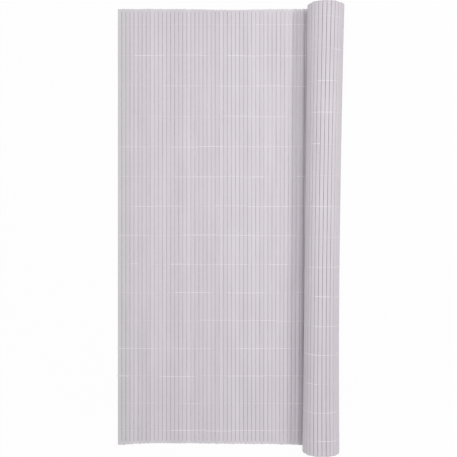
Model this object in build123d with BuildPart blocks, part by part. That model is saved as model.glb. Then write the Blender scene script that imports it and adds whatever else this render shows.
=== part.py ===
from build123d import *

import os
from math import asin, atan, ceil, cos, pi, radians, sin, sqrt, tan

# PVC reed screening that lies half unrolled: double-faced slats side by side, bound by rows of thread.
# Sizes are in mm and degrees. The slats run along Y, the floor is Z = 0 and the roll is at the +X end.

# Slats
screen_height = 1500.0
slat_width = 13.0
slat_gap = 1.0
slat_thickness = 3.9
slat_edge = 2.7

# Mat
unrolled_count = 50
rolled_count = 164
tie_height = 6.0
tie_thickness = 1.0
tie_bite = 0.6

# Roll
core_ease = 5.0
turn_clearance = 0.2
roll_skew = 0.65
fan_share = 0.7

# Binding threads
seam_margin = 50.0
seam_spacing = 100.0
seam_drift = 27.0
seam_offset = -4.0
thread_width = 2.0
thread_thickness = 0.4
thread_clearance = 0.05
loop_reach = 3.0
ring_end = 330.0
thread_gap = 0.3

# Sizes that follow from the ones above
slat_pitch = slat_width + slat_gap
lean = radians(roll_skew)
thread_lift = thread_thickness + thread_clearance
mat_height = thread_lift + slat_thickness / 2
turn_pitch = slat_thickness + thread_thickness + turn_clearance
core_radius = slat_pitch / 2 / sin(atan(slat_gap / slat_edge)) + core_ease
roll_radius = sqrt(core_radius**2 + rolled_count * slat_pitch * turn_pitch / pi)
chord_drop = roll_radius - sqrt(roll_radius**2 - (slat_pitch / 2) ** 2)
roll_reach = roll_radius - turn_pitch / 4 - chord_drop + slat_thickness / 2
unrolled_length = unrolled_count * slat_pitch
left_reach = unrolled_length - slat_gap / 2 + loop_reach
right_reach = roll_reach * cos(lean) + screen_height / 2 * sin(lean)
tangent_x = (left_reach - right_reach) / 2
free_x = tangent_x - unrolled_length
fan_count = ceil(screen_height / 2 * lean / (fan_share * slat_gap)) - 1
seam_count = int((screen_height - 2 * seam_margin) / seam_spacing) + 1


def wound_radius(turn_angle):
    """Radius of the mat's middle layer after the roll has turned through an angle in radians."""
    return roll_radius - turn_pitch * turn_angle / (2 * pi)


def slat_lean(index):
    """Lean of a flat slat in radians: the last ones fan out until they lie along the askew roll."""
    fanned = index - (unrolled_count - fan_count) + 1
    return lean * max(fanned, 0) / (fan_count + 1)


def slat_plane(x, height, angle):
    """Plane across a slat that leans by an angle, with its local X along the mat and local Y up."""
    return Plane(
        origin=(x, 0, height),
        x_dir=(cos(angle), -sin(angle), 0),
        z_dir=(-sin(angle), -cos(angle), 0),
    )


def seam_height(row):
    """Place of a thread row along the slats: even rows that drift towards the foot in the middle."""
    even = (row - (seam_count - 1) / 2) * seam_spacing
    return even + seam_offset - seam_drift * sin(pi * row / (seam_count - 1))


# Section of one slat
with BuildSketch() as slat_section:
    with BuildLine():
        front = ThreePointArc(
            (-slat_width / 2, slat_edge / 2),
            (0, slat_thickness / 2),
            (slat_width / 2, slat_edge / 2),
        )
        back = ThreePointArc(
            (-slat_width / 2, -slat_edge / 2),
            (0, -slat_thickness / 2),
            (slat_width / 2, -slat_edge / 2),
        )
        Line(front @ 0, back @ 0)
        Line(front @ 1, back @ 1)
    make_face()

# Unrolled slats, one wall: gaps run from both ends to the short ties at the middle thread row
tie_row = (seam_count - 1) // 2
tie_y = seam_height(tie_row)
tie_places = []
for index in range(1, unrolled_count):
    joint_lean = (slat_lean(index - 1) + slat_lean(index)) / 2
    tie_places.append((free_x + slat_pitch * index + tie_y * tan(joint_lean), tie_y, mat_height))

with BuildPart() as unrolled_slats:
    for index in range(unrolled_count):
        with BuildSketch(slat_plane(free_x + slat_pitch * (index + 0.5), mat_height, slat_lean(index))):
            add(slat_section.sketch)
    extrude(amount=screen_height / 2, both=True)
    with Locations(*tie_places):
        Box(slat_gap + 2 * tie_bite, tie_height, tie_thickness)

unrolled_slats.part.label = "unrolled_slats"

# Rolled slats, one wall wound in a spiral: each slat is a chord between two joints on the spiral
slat_places = []
turn_angles = []
turn_angle = 0.0
joint = Vector(0, -wound_radius(0))
for index in range(rolled_count):
    turn_angle += 2 * asin(slat_pitch / 2 / wound_radius(turn_angle))
    radius = wound_radius(turn_angle)
    next_joint = Vector(radius * sin(turn_angle), -radius * cos(turn_angle))
    chord = next_joint - joint
    middle = (joint + next_joint) / 2
    slat_places.append(Plane(origin=middle, x_dir=chord, z_dir=(0, 0, -1)))
    turn_angles.append(turn_angle)
    joint = next_joint

roll_outline = []
for face in (1, -1):
    edge = face * slat_edge / 2
    crest = face * slat_thickness / 2
    last = None
    for place in slat_places:
        start = place.from_local_coords((-slat_width / 2, edge))
        top = place.from_local_coords((0, crest))
        end = place.from_local_coords((slat_width / 2, edge))
        if last is not None:
            roll_outline.append(Line(last, start))
        roll_outline.append(ThreePointArc(start, top, end))
        last = end
for place, side in ((slat_places[0], -1), (slat_places[-1], 1)):
    front_corner = place.from_local_coords((side * slat_width / 2, slat_edge / 2))
    back_corner = place.from_local_coords((side * slat_width / 2, -slat_edge / 2))
    roll_outline.append(Line(front_corner, back_corner))

roll_plane = slat_plane(tangent_x, mat_height + roll_radius, lean)

with BuildPart() as rolled_slats:
    with BuildSketch(roll_plane):
        make_face(roll_outline)
    extrude(amount=screen_height / 2, both=True)

rolled_slats.part.label = "rolled_slats"

# Binding threads: each is a loop on both faces of the flat slats and a ring on the roll
ring_inside = []
ring_outside = []
for place, angle in zip(slat_places, turn_angles):
    if angle > radians(ring_end):
        break
    inside = slat_thickness / 2 + thread_clearance
    outside = inside + thread_thickness
    if not ring_inside:
        ring_inside.append(place.from_local_coords((-slat_pitch / 2, inside)))
        ring_outside.append(place.from_local_coords((-slat_pitch / 2, outside)))
    half_turn = asin(slat_pitch / 2 / wound_radius(angle))
    ring_inside.append(place.from_local_coords((slat_pitch / 2 + inside * tan(half_turn), inside)))
    ring_outside.append(place.from_local_coords((slat_pitch / 2 + outside * tan(half_turn), outside)))

seam_threads = []
for row in range(seam_count):
    seam_y = seam_height(row)
    loop_right = tangent_x + seam_y * tan(lean) - thread_gap
    loop_left = free_x + slat_gap / 2 - loop_reach
    loop_top = mat_height + slat_thickness / 2 + thread_lift
    with BuildPart() as seam_thread:
        with BuildSketch(Plane.XZ.offset(-seam_y)):
            with BuildLine():
                Polyline(
                    (loop_right, 0),
                    (loop_left, 0),
                    (loop_left, loop_top),
                    (loop_right, loop_top),
                    (loop_right, loop_top - thread_thickness),
                    (loop_left + thread_thickness, loop_top - thread_thickness),
                    (loop_left + thread_thickness, thread_thickness),
                    (loop_right, thread_thickness),
                    close=True,
                )
            make_face()
        extrude(amount=thread_width / 2, both=True)
        with BuildSketch(roll_plane.offset(-seam_y)):
            with BuildLine():
                Polyline(*ring_inside, *reversed(ring_outside), close=True)
            make_face()
        extrude(amount=thread_width / 2, both=True)
    seam_thread.part.label = f"seam_thread_{row + 1:02d}"
    seam_threads.append(seam_thread.part)

os.makedirs("parts", exist_ok=True)
export_step(unrolled_slats.part, "parts/unrolled_slats.step")
export_step(rolled_slats.part, "parts/rolled_slats.step")
for thread in seam_threads:
    export_step(thread, f"parts/{thread.label}.step")
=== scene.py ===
import math
import random

import bpy
from mathutils import Matrix, Vector


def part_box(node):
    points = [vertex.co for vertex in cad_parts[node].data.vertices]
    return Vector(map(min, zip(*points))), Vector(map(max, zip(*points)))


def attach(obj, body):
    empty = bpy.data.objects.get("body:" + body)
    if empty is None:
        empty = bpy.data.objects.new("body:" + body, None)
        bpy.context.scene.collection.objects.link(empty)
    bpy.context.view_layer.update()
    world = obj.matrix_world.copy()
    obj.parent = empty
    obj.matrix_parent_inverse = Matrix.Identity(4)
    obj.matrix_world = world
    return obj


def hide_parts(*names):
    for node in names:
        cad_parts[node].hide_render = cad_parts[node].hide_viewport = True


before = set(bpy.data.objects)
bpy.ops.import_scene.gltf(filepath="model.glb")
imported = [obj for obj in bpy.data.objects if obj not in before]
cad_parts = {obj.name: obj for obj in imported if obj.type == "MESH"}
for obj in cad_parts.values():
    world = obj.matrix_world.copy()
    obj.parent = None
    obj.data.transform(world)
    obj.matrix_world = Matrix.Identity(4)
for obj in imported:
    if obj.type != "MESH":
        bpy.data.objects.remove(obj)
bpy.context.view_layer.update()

# Unrolled slats. Each is a hollow, slightly cambered strip of pale lilac-grey PVC, extruded and sawn to
# 1.5 m, with open ends. They lie side by side on the floor with nothing but the stitching to hold them,
# so each has its own tilt and small bends, and the last ones fan out until they lie along the roll.
slat_length = 1.5
slat_width = 0.013
slat_gap = 0.001
slat_pitch = slat_width + slat_gap
slat_thickness = 0.0039
slat_edge = 0.0027
slat_wall = 0.0008
corner_radius = 0.0009
corner_crease = math.radians(50)
camber_line = 0.0032
line_reach = 0.0005

# Past this share of the slat's length or width, a point is on its end or its long side.
outermost = 0.49

unrolled_count = 50
mat_height = 0.0024
roll_lean = math.radians(0.65)
fan_count = 12
flat_tilt = math.radians(1.4)
flat_slack = 0.00015
fan_slack = 0.00008
saw_slack = 0.0008

seam_count = 15
seam_spacing = 0.1
seam_offset = -0.004
seam_drift = 0.027

# Waves in the line of the sawn ends: how far each reaches, and its middle and spread as shares of the mat.
foot_waves = ((0.0025, 0.3, 0.2), (-0.0045, 1.0, 0.18), (-0.0033, 0.0, 0.06))
head_waves = ((-0.0028, 0.56, 0.18),)

# A slat's tone runs from grey at 0 to light lilac at 1, and the first slats are the greyest.
tone_stops = (
    (0.0, (0.650, 0.628, 0.652)),
    (0.25, (0.665, 0.622, 0.670)),
    (1.0, (0.715, 0.672, 0.722)),
)
grey_count = 3
grey_tones = (0.0, 0.1)
lilac_tones = (0.3, 1.0)


def seam_height(row):
    """Place of a thread row along the slats: even rows that drift towards the foot in the middle."""
    even = (row - (seam_count - 1) / 2) * seam_spacing
    return even + seam_offset - seam_drift * math.sin(math.pi * row / (seam_count - 1))


def let_go():
    """Leaves no object selected."""
    for item in bpy.context.selected_objects:
        item.select_set(False)


def take_up(item):
    """Makes one object the only selected and active one."""
    let_go()
    item.select_set(True)
    bpy.context.view_layer.objects.active = item


def pick(item, kind, wanted):
    """Goes into edit mode with only the vertices, edges or faces selected that pass a test."""
    bpy.ops.object.mode_set(mode="EDIT")
    bpy.ops.mesh.select_mode(type=kind)
    bpy.ops.mesh.select_all(action="DESELECT")
    bpy.ops.object.mode_set(mode="OBJECT")
    group = {"VERT": item.data.vertices, "EDGE": item.data.edges, "FACE": item.data.polygons}[kind]
    for part in group:
        part.select = wanted(part)
    bpy.ops.object.mode_set(mode="EDIT")


def slat_strip(name, camber_lines, corner_segments):
    """A slat's outer skin: a bar with open ends, cambered on both faces, its long corners rounded."""
    let_go()
    bpy.ops.mesh.primitive_cube_add(size=1, location=(0, 0, 0))
    strip = bpy.context.object
    strip.name = name
    bpy.ops.object.mode_set(mode="EDIT")
    bpy.ops.transform.resize(value=(slat_width, slat_length, slat_edge), center_override=(0, 0, 0))
    for line in camber_lines:
        bpy.ops.mesh.select_all(action="SELECT")
        bpy.ops.mesh.bisect(plane_co=(line, 0, 0), plane_no=(1, 0, 0))
    pick(strip, "FACE", lambda face: abs(face.center.y) > outermost * slat_length)
    bpy.ops.mesh.delete(type="FACE")
    for side in (1, -1):
        for line in camber_lines:
            pick(strip, "VERT", lambda vert: abs(vert.co.x - line) < line_reach and vert.co.z * side > 0)
            rise = (slat_thickness - slat_edge) / 2 * (1 - (2 * line / slat_width) ** 2)
            bpy.ops.transform.translate(value=(0, 0, side * rise))

    def long_corner(edge):
        """True for one of the four long corners of the strip."""
        one, two = (strip.data.vertices[index].co for index in edge.vertices)
        return abs(one.y - two.y) > slat_length / 2 and abs(one.x) > outermost * slat_width

    pick(strip, "EDGE", long_corner)
    if corner_segments:
        bpy.ops.mesh.bevel(offset=corner_radius, segments=corner_segments, affect="EDGES")
    bpy.ops.mesh.select_all(action="SELECT")
    bpy.ops.mesh.normals_make_consistent(inside=False)
    bpy.ops.object.mode_set(mode="OBJECT")
    return strip


def hollow_slat(strip, ring_places):
    """Gives a strip its wall, rings across it where it can bend, and smooth corners beside true faces."""
    take_up(strip)
    wall = strip.modifiers.new("wall", "SOLIDIFY")
    wall.thickness = slat_wall
    wall.offset = -1
    bpy.ops.object.modifier_apply(modifier="wall")
    bpy.ops.object.mode_set(mode="EDIT")
    for place in ring_places:
        bpy.ops.mesh.select_all(action="SELECT")
        bpy.ops.mesh.bisect(plane_co=(0, place, 0), plane_no=(0, 1, 0))
    bpy.ops.object.mode_set(mode="OBJECT")
    bpy.ops.object.shade_smooth_by_angle(angle=corner_crease)
    even = strip.modifiers.new("even", "WEIGHTED_NORMAL")
    even.keep_sharp = True
    bpy.ops.object.modifier_apply(modifier="even")


seam_places = [seam_height(row) for row in range(seam_count)]
stations = [-slat_length / 2, *seam_places, slat_length / 2]
slat = slat_strip("slat_pattern", (-camber_line, 0, camber_line), 2)
slat_skin = slat.data.copy()
hollow_slat(slat, seam_places)


def feed(tree, node, inputs):
    """Sets a shader node's inputs, each to a value or to what another node gives."""
    for name, value in inputs.items():
        if isinstance(value, bpy.types.NodeSocket):
            tree.links.new(value, node.inputs[name])
        else:
            node.inputs[name].default_value = value


def add_node(tree, kind, inputs=None, **options):
    """A new shader node with its options and inputs."""
    node = tree.nodes.new(f"ShaderNode{kind}")
    for option, value in options.items():
        setattr(node, option, value)
    feed(tree, node, inputs or {})
    return node


def mottle(tree, place, grain, detail):
    """Soft uneven noise, with its own fineness along each axis of the piece."""
    spread = add_node(tree, "Mapping", {"Vector": place, "Scale": grain}).outputs["Vector"]
    return add_node(tree, "TexNoise", {"Vector": spread, "Scale": 1, "Detail": detail}).outputs["Fac"]


def grade(tree, value, span, levels, **options):
    """Takes a value that runs over a span to the levels that belong to the span's two ends."""
    inputs = {"Value": value, "From Min": span[0], "From Max": span[1]}
    inputs |= {"To Min": levels[0], "To Max": levels[1]}
    return add_node(tree, "MapRange", inputs, **options).outputs["Result"]


def tint(tree, amount, stops):
    """A colour that runs through the stops, each with its place from 0 to 1, as the amount goes up."""
    node = add_node(tree, "ValToRGB", {"Fac": amount})
    first, *between, last = stops
    for stop, (place, colour) in zip(node.color_ramp.elements, (first, last)):
        stop.position = place
        stop.color = (*colour, 1)
    for place, colour in between:
        node.color_ramp.elements.new(place).color = (*colour, 1)
    return node.outputs["Color"]


def shade(tree, colour, level):
    """A colour made darker or lighter by a level."""
    inputs = {"Factor": 1, "A": colour, "B": level}
    return add_node(tree, "Mix", inputs, data_type="RGBA", blend_type="MULTIPLY").outputs["Result"]


def satin_pvc():
    """PVC in each slat's own tone, with fine streaks from the extruder, a faint haze and a satin gloss."""
    finish = bpy.data.materials.new("slat_pvc")
    finish.use_nodes = True
    tree = finish.node_tree
    place = add_node(tree, "TexCoord").outputs["Object"]
    tone = add_node(tree, "Attribute", attribute_name="slat_tone").outputs["Fac"]
    streaks = mottle(tree, place, grain=(900, 3, 900), detail=3)
    haze = mottle(tree, place, grain=(16, 6, 16), detail=4)
    streaked = shade(tree, tint(tree, tone, tone_stops), grade(tree, streaks, (0, 1), (0.93, 1.03)))
    relief = add_node(tree, "Bump", {"Strength": 0.15, "Distance": 0.0002, "Height": streaks})
    surface = {
        "Base Color": shade(tree, streaked, grade(tree, haze, (0.3, 0.7), (0.965, 1.02))),
        "Roughness": grade(tree, streaks, (0, 1), (0.42, 0.60)),
        "Specular IOR Level": 0.3,
        "Normal": relief.outputs["Normal"],
    }
    feed(tree, tree.nodes["Principled BSDF"], surface)
    return finish


pvc = satin_pvc()
chance = random.Random(14)


def stray(reach):
    """A chance amount, up to its reach either way."""
    return chance.uniform(-1, 1) * reach


def end_line(across, waves):
    """How far the sawn ends stand from a straight line at a share of the way across the mat."""
    return sum(reach * math.exp(-(((across - middle) / spread) ** 2)) for reach, middle, spread in waves)


def lay_slat(pattern, seat, tone, bends, foot, head):
    """One more slat, bent a little at each thread row, sawn at its own length and laid on its seat."""
    copy = bpy.data.objects.new("slat", pattern.data.copy())
    for vert in copy.data.vertices:
        if bends is not None:
            nearest = min(range(len(stations)), key=lambda place: abs(vert.co.y - stations[place]))
            vert.co.x += bends[nearest]
        if abs(vert.co.y) > outermost * slat_length:
            vert.co.y += head if vert.co.y > 0 else foot
    copy.data.transform(seat)
    layer = copy.data.attributes.new("slat_tone", "FLOAT", "POINT")
    layer.data.foreach_set("value", [tone] * len(copy.data.vertices))
    bpy.context.scene.collection.objects.link(copy)
    return copy


def join_up(copies, name):
    """Joins copies into one piece whose object stays at the origin."""
    take_up(copies[0])
    for copy in copies:
        copy.select_set(True)
    bpy.ops.object.join()
    piece = bpy.context.object
    piece.name = name
    piece.data.name = name
    return piece


free_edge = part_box("unrolled_slats")[0].x - slat_gap / 2
flat_slats = []
flat_copies = []
for index in range(unrolled_count):
    across = index / (unrolled_count - 1)
    fanned = max(index - (unrolled_count - fan_count) + 1, 0)
    lean = roll_lean * fanned / (fan_count + 1)
    tilt = stray(flat_tilt)
    slack = fan_slack if fanned else flat_slack
    bends = [stray(slack) for place in stations]
    seat = Matrix.Translation((free_edge + slat_pitch * (index + 0.5), 0, mat_height))
    seat = seat @ Matrix.Rotation(-lean, 4, "Z") @ Matrix.Rotation(tilt, 4, "Y")
    foot = end_line(across, foot_waves) + stray(saw_slack)
    head = end_line(across, head_waves) + stray(saw_slack)
    tones = grey_tones if index < grey_count else lilac_tones
    flat_slats.append((seat, bends))
    flat_copies.append(lay_slat(slat, seat, chance.uniform(*tones), bends, foot, head))
unrolled = join_up(flat_copies, "unrolled_slat_mat")
unrolled.data.materials.append(pvc)
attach(unrolled, "root")
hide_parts("unrolled_slats")

# Rolled slats. The rest of the same mat, wound up on itself with its underside out and slightly askew.
# Each slat is a straight chord between two points of the spiral, the turns have slipped a few
# millimetres along the roll, and nothing fills the core.
rolled_count = 164
turn_pitch = 0.0045
core_ease = 0.005
core_radius = slat_pitch / 2 / math.sin(math.atan(slat_gap / slat_edge)) + core_ease
roll_radius = math.sqrt(core_radius**2 + rolled_count * slat_pitch * turn_pitch / math.pi)
roll_height = mat_height + roll_radius
tangent = free_edge + unrolled_count * slat_pitch
roll_seat = Matrix.Translation((tangent, 0, roll_height)) @ Matrix.Rotation(-roll_lean, 4, "Z")

rolled_tones = (0.1, 0.4)
rolled_saw_slack = 0.001

# Only the outermost turn shows. Its slats have their own tilt and bends, and those inside are plainer.
shown_turn = math.radians(375)
stitched_turn = math.radians(335)
rolled_tilt = math.radians(1.2)
rolled_slack = 0.0001
inner_rings = (-0.45, 0, 0.45)

# The turns have slipped along the roll, to and fro once in so many turns.
slip_cycle = 4
slip_mean = 0.0022
slip_swing = 0.0024
slip_growth = 0.0004

# The roll is narrower at a waist, by a share of its width, and its top leans over the flat mat there.
waist_place = -0.107
waist_draw = 0.058
waist_lean = 0.0026
end_lean = 0.0004


def wound_radius(turned):
    """Radius of the mat's middle layer after the roll has turned through an angle."""
    return roll_radius - turn_pitch * turned / (2 * math.pi)


def turn_slip(turned):
    """How far a turn has slipped towards the foot, in a swing that grows towards the core."""
    turns = turned / (2 * math.pi)
    swing = slip_swing + slip_growth * turns
    return slip_mean + swing * math.cos(2 * math.pi * (turns - 1) / slip_cycle)


def settle_roll(mesh):
    """Draws the roll in at its waist, a little below its middle, where it also leans over the flat mat."""
    for vert in mesh.vertices:
        away = vert.co.y - waist_place
        reach = slat_length / 2 - (waist_place if away > 0 else -waist_place)
        share = 1 - (away / reach) ** 2
        axis = tangent + vert.co.y * math.tan(roll_lean)
        lean_over = (end_lean - waist_lean * share) * vert.co.z / roll_height
        vert.co.x = axis + (vert.co.x - axis) * (1 - waist_draw * share) + lean_over


inner_slat = slat_strip("inner_slat_pattern", (0,), 0)
hollow_slat(inner_slat, inner_rings)
outer_slats = []
outer_turns = []
rolled_copies = []
turned = 0.0
joint = Vector((0, -roll_radius))
for index in range(rolled_count):
    turned += 2 * math.asin(slat_pitch / 2 / wound_radius(turned))
    radius = wound_radius(turned)
    next_joint = Vector((radius * math.sin(turned), -radius * math.cos(turned)))
    chord = next_joint - joint
    middle = (joint + next_joint) / 2
    joint = next_joint
    seat = roll_seat @ Matrix.Translation((middle.x, 0, middle.y))
    seat = seat @ Matrix.Rotation(-math.atan2(chord.y, chord.x), 4, "Y")
    pattern = inner_slat
    bends = None
    if turned < shown_turn:
        seat = seat @ Matrix.Rotation(stray(rolled_tilt), 4, "Y")
        pattern = slat
        bends = [stray(rolled_slack) for place in stations]
    if turned < stitched_turn:
        outer_slats.append((seat, bends))
        outer_turns.append(turned)
    foot = stray(rolled_saw_slack) - turn_slip(turned)
    head = stray(rolled_saw_slack) - turn_slip(turned)
    rolled_copies.append(lay_slat(pattern, seat, chance.uniform(*rolled_tones), bends, foot, head))
rolled = join_up(rolled_copies, "rolled_slat_mat")
settle_roll(rolled.data)
rolled.data.materials.append(pvc)
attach(rolled, "root")
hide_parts("rolled_slats")
bpy.data.objects.remove(slat)
bpy.data.objects.remove(inner_slat)

# Binding threads. Rows of white polyester yarn are stitched across the mat and go round every slat on
# both faces. They lie flat or on edge by turns, in runs of a few slats, and at the free edge each row
# turns round the first slat in a loose loop.
thread_width = 0.002
thread_lift = 0.00003
thread_rise = 0.00042
thread_crease = math.radians(75)
ridge_reach = thread_width / 8
side_share = 0.47
side_ease = (1.08, 1, 1.12)
loop_share = 0.4
loop_reach = 0.003
same_point = 0.000002

flat_run = (2, 9)
rolled_run = (2, 5)
run_jog = 0.0018
row_slack = 0.0002
loose_fullness = (0.6, 1.05)
tight_fullness = (0.15, 0.35)
stitch_fullness = (0.85, 1.1)

# How often a run of stitches is loose: on the flat mat, at its free edge, on the roll's crown and flanks.
flat_loose = 0.72
edge_loose = 0.2
edge_count = 10
crown_loose = 0.55
crown_reach = 0.9
flank_loose = 0.1

ply_scale = 420
# The yarn's colour runs from a painted shade in the grooves between the plies to white on their crowns.
ply_painted_groove_shade = ((0.0, (0.785, 0.75, 0.79)), (1.0, (0.945, 0.91, 0.95)))

# The stitch is a ring of the slat's own skin, cut short, with its middle raised to a ridge.
stitch = bpy.data.objects.new("stitch_pattern", slat_skin)
bpy.context.scene.collection.objects.link(stitch)
take_up(stitch)
bpy.ops.object.mode_set(mode="EDIT")
bpy.ops.mesh.select_all(action="SELECT")
bpy.ops.transform.resize(value=(1, thread_width / slat_length, 1), center_override=(0, 0, 0))
bpy.ops.transform.shrink_fatten(value=thread_lift)
bpy.ops.mesh.duplicate()
bpy.ops.mesh.bisect(plane_co=(0, 0, 0), plane_no=(0, 1, 0))
pick(stitch, "VERT", lambda vert: abs(vert.co.y) < ridge_reach)
bpy.ops.transform.shrink_fatten(value=thread_rise)
pick(stitch, "VERT", lambda vert: abs(vert.co.x) > side_share * slat_width)
bpy.ops.transform.resize(value=side_ease, center_override=(0, 0, 0))
bpy.ops.mesh.select_all(action="SELECT")
bpy.ops.mesh.remove_doubles(threshold=same_point)
bpy.ops.mesh.normals_make_consistent(inside=False)
bpy.ops.object.mode_set(mode="OBJECT")
bpy.ops.object.shade_smooth_by_angle(angle=thread_crease)

end_loop = bpy.data.objects.new("end_loop_pattern", stitch.data.copy())
bpy.context.scene.collection.objects.link(end_loop)
take_up(end_loop)
pick(end_loop, "VERT", lambda vert: vert.co.x < -loop_share * slat_width)
bpy.ops.transform.translate(value=(thread_rise - loop_reach, 0, 0))
bpy.ops.object.mode_set(mode="OBJECT")


def white_yarn():
    """Soft white yarn of a few twisted plies, painted darker in the grooves between the plies as shade."""
    finish = bpy.data.materials.new("seam_thread")
    finish.use_nodes = True
    tree = finish.node_tree
    place = add_node(tree, "TexCoord").outputs["Object"]
    twist = {"Vector": place, "Scale": ply_scale, "Distortion": 2}
    plies = add_node(tree, "TexWave", twist, wave_type="BANDS", bands_direction="DIAGONAL").outputs["Fac"]
    relief = add_node(tree, "Bump", {"Strength": 0.5, "Distance": 0.0002, "Height": plies})
    surface = {
        # Painted shade: the yarn is darker where the plies dip into their grooves.
        "Base Color": tint(tree, plies, ply_painted_groove_shade),
        "Roughness": 0.75,
        "Sheen Weight": 0.1,
        "Normal": relief.outputs["Normal"],
    }
    feed(tree, tree.nodes["Principled BSDF"], surface)
    return finish


def loose_share(index):
    """How often a run of stitches that starts at a slat is loose and lies flat."""
    if index < edge_count:
        return edge_loose
    if index < unrolled_count:
        return flat_loose
    from_crown = abs(outer_turns[index - unrolled_count] - math.pi)
    return crown_loose if from_crown < crown_reach else flank_loose


yarn = white_yarn()
for row in range(seam_count):
    stitches = []
    run = 0
    for index, (seat, bends) in enumerate(flat_slats + outer_slats):
        if run == 0:
            run = chance.randint(*(flat_run if index < unrolled_count else rolled_run))
            jog = stray(run_jog)
            loose = chance.random() < loose_share(index)
            fullness = chance.uniform(*(loose_fullness if loose else tight_fullness))
        run -= 1
        pattern = stitch if index else end_loop
        copy = bpy.data.objects.new("stitch", pattern.data.copy())
        height = seam_height(row) + jog + stray(row_slack)
        spread = fullness * chance.uniform(*stitch_fullness)
        lay = Matrix.Translation((bends[row + 1], height, 0)) @ Matrix.Diagonal((1, spread, 1, 1))
        copy.data.transform(seat @ lay)
        if index >= unrolled_count:
            settle_roll(copy.data)
        bpy.context.scene.collection.objects.link(copy)
        stitches.append(copy)
    name = f"seam_thread_{row + 1:02d}"
    thread = join_up(stitches, f"{name}_stitches")
    thread.data.materials.append(yarn)
    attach(thread, "root")
    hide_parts(name)
bpy.data.objects.remove(stitch)
bpy.data.objects.remove(end_loop)

# Floor: plain white paper around the mat, with a soft trace of shadow next to it. Under the mat it shows
# its grey in real shade, and over that a painted light and shade: uneven from gap to gap, darker towards
# the slats' ends and the free edge, and on the roll's side painted darker at the foot and lighter at the
# head.
floor_size = 14
floor_drop = 0.0004
floor_grey = (0.7, 0.7, 0.7, 1)

# Where the painted shade under the mat fades out: distances inside the slats' ends and the free edge, a
# share of the roll.
end_cover = (0.012, 0.003)
edge_cover = (0.006, 0.003)
roll_cover = 0.85

# How white the gaps look, which is painted light and shade, and how that painted shade changes over a span
# from the middle to the slats' ends, from the free edge inwards, and on the roll's side from foot to head.
painted_gap_grain = (71, 4, 1)
painted_gap_shades = (0.17, 0.45)
end_span = (0.35, 0.75)
painted_end_shades = (1.0, 0.6)
edge_span = 0.12
painted_edge_shades = (0.3, 1.0)
corner_span = 0.15
painted_corner_shades = (0.1, 1.9)

# The trace of shadow on the bare floor, over the distance from the middle of the mat.
trace_span = (0.8, 2.0)
trace_shades = (0.96, 1.0)


def reckon(tree, operation, *values):
    """One step of arithmetic on values and on what other nodes give."""
    return add_node(tree, "Math", dict(enumerate(values)), operation=operation).outputs["Value"]


def seen_rays(tree):
    """1 where the eye looks straight at a thing, or in a gloss, or through another; 0 for plain light."""
    ray = add_node(tree, "LightPath").outputs
    straight = reckon(tree, "MAXIMUM", ray["Is Camera Ray"], ray["Is Glossy Ray"])
    return reckon(tree, "MAXIMUM", straight, ray["Is Transmission Ray"])


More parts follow.
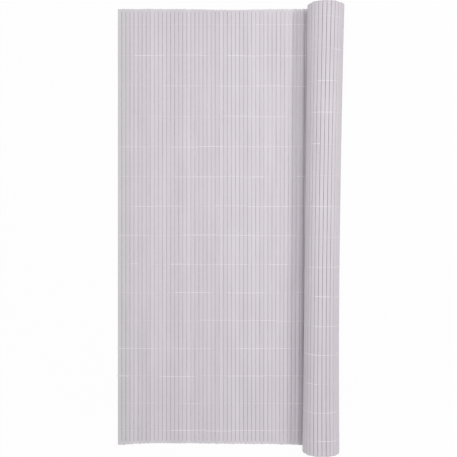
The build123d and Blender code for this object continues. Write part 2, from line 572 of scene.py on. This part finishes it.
def floor_paper():
    """Paper that looks white by itself where it is bare. Under the mat it is grey in real shade, with
    painted light and shade that set how white each gap looks.
    """
    finish = bpy.data.materials.new("floor_white")
    finish.use_nodes = True
    tree = finish.node_tree
    place = add_node(tree, "TexCoord").outputs["Object"]
    axes = add_node(tree, "SeparateXYZ", {"Vector": place}).outputs
    from_middle = reckon(tree, "ABSOLUTE", axes["Y"])
    past_roll = reckon(tree, "MULTIPLY_ADD", axes["Y"], -math.tan(roll_lean), axes["X"])
    roll_corner = reckon(tree, "MULTIPLY", reckon(tree, "MAXIMUM", axes["X"], 0), axes["Y"])

    bare = 0
    for value, span in (
        (from_middle, [slat_length / 2 - cover for cover in end_cover]),
        (past_roll, (tangent, tangent + roll_cover * roll_radius)),
        (axes["X"], [free_edge + cover for cover in edge_cover]),
    ):
        fade = grade(tree, value, span, (0, 1), interpolation_type="SMOOTHSTEP")
        bare = reckon(tree, "MAXIMUM", bare, fade)

    # Painted shade: how white each gap looks comes from noise and from the place under the mat, not from
    # the light.
    painted_gap_shade = grade(tree, mottle(tree, place, painted_gap_grain, detail=1), (0.3, 0.7), painted_gap_shades)
    for value, span, levels in (
        (from_middle, end_span, painted_end_shades),
        (axes["X"], (free_edge, free_edge + edge_span), painted_edge_shades),
        (roll_corner, (-corner_span, corner_span), painted_corner_shades),
    ):
        painted_gap_shade = reckon(tree, "MULTIPLY", painted_gap_shade, grade(tree, value, span, levels))

    away = add_node(tree, "VectorMath", {0: place}, operation="LENGTH").outputs["Value"]
    around = grade(tree, away, trace_span, trace_shades)
    whiteness = grade(tree, bare, (0, 1), (painted_gap_shade, around))
    grey = tree.nodes["Principled BSDF"]
    feed(tree, grey, {"Base Color": floor_grey, "Roughness": 0.9})
    white = add_node(tree, "Emission", {"Strength": 1.0}).outputs["Emission"]
    seen = reckon(tree, "MULTIPLY", whiteness, seen_rays(tree))
    blend = add_node(tree, "MixShader", {"Fac": seen, 1: grey.outputs["BSDF"], 2: white})
    feed(tree, tree.nodes["Material Output"], {"Surface": blend.outputs["Shader"]})
    return finish


let_go()
bpy.ops.mesh.primitive_plane_add(size=floor_size, location=(0, 0, -floor_drop))
floor = bpy.context.object
floor.name = "floor"
floor.data.materials.append(floor_paper())

# Light: an even white room and three long soft lamps along the slats. One hangs almost straight above
# the roll, one further out on the roll's side, and a low one stands off the free edge and lights the
# flank of the roll.
room_levels = (0.508, 1.0)
lamp_width = 0.5
lamp_length = 2.4
lamp_along = 0.5
lamp_aim = 0.15

world = bpy.data.worlds.new("room")
bpy.context.scene.world = world
world.use_nodes = True
tree = world.node_tree
room_level = grade(tree, seen_rays(tree), (0, 1), room_levels)
feed(tree, tree.nodes["Background"], {"Color": (1, 1, 1, 1), "Strength": room_level})

for name, lamp_place, lamp_height, power in (
    ("roll_lamp", 0.555, 3.0, 25.4),
    ("side_lamp", 1.97, 3.0, 32.3),
    ("edge_lamp", -3.4, 0.67, 23.0),
):
    bpy.ops.object.light_add(type="AREA", location=(lamp_place, lamp_along, lamp_height))
    lamp = bpy.context.object
    lamp.name = name
    lamp.data.shape = "RECTANGLE"
    lamp.data.size = lamp_width
    lamp.data.size_y = lamp_length
    lamp.data.energy = power
    lamp.rotation_euler = (0, math.atan2(lamp_place - lamp_aim, lamp_height), 0)

# Camera: straight above, with the slats upright in the picture. The shift puts the point below the lens
# a little above the middle, where the thread rows of roll and mat meet.
camera_place = (-0.0023, 0.0875, 2.577)
camera_sensor = 36
camera_lens = 58.76
camera_shift = -0.06

bpy.ops.object.camera_add(location=camera_place, rotation=(0, 0, 0))
camera = bpy.context.object
camera.data.sensor_width = camera_sensor
camera.data.lens = camera_lens
camera.data.shift_y = camera_shift
bpy.context.scene.camera = camera

bpy.context.scene.view_settings.view_transform = "Standard"
